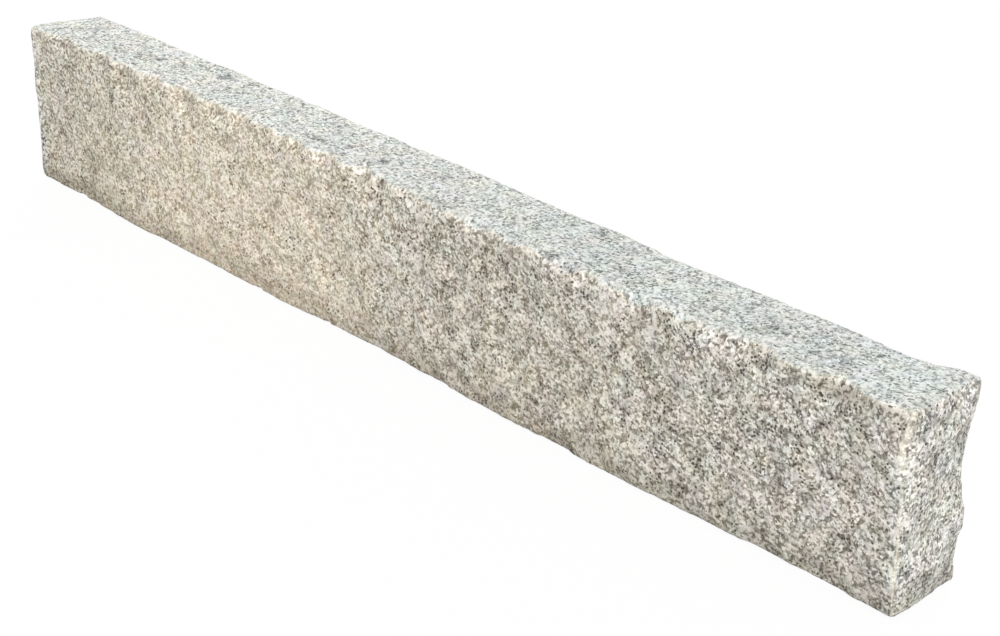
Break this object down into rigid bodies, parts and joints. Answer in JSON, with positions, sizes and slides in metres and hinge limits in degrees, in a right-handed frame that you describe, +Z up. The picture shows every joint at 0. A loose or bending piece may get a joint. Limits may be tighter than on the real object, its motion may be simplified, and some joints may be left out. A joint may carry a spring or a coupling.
{
  "type": "granite kerb stone",
  "caption": "Long rectangular bar of split granite for edging a path or bed, with a flat dressed top, a flat bed, rough split sides and ends, and chipped arrises.",
  "frame": {"origin": "middle of the stone's outline seen from above, at the level of the bed that it stands on", "axes": "+X along the length towards the end whose back corner is flared, +Y through the thickness from the front face to the back face, +Z up from the bed to the dressed top"},
  "size_m": [1.0098, 0.0832, 0.15],
  "materials": {
    "granite": "pale grey fine-grained granite with cream feldspar, grey quartz and small black mica specks; cool grey dressed top, warmer rough split sides, matt, with pale bruised arrises"
  },
  "bodies": {
    "root": {"kerb_stone": "granite"}
  },
  "joints": []
}
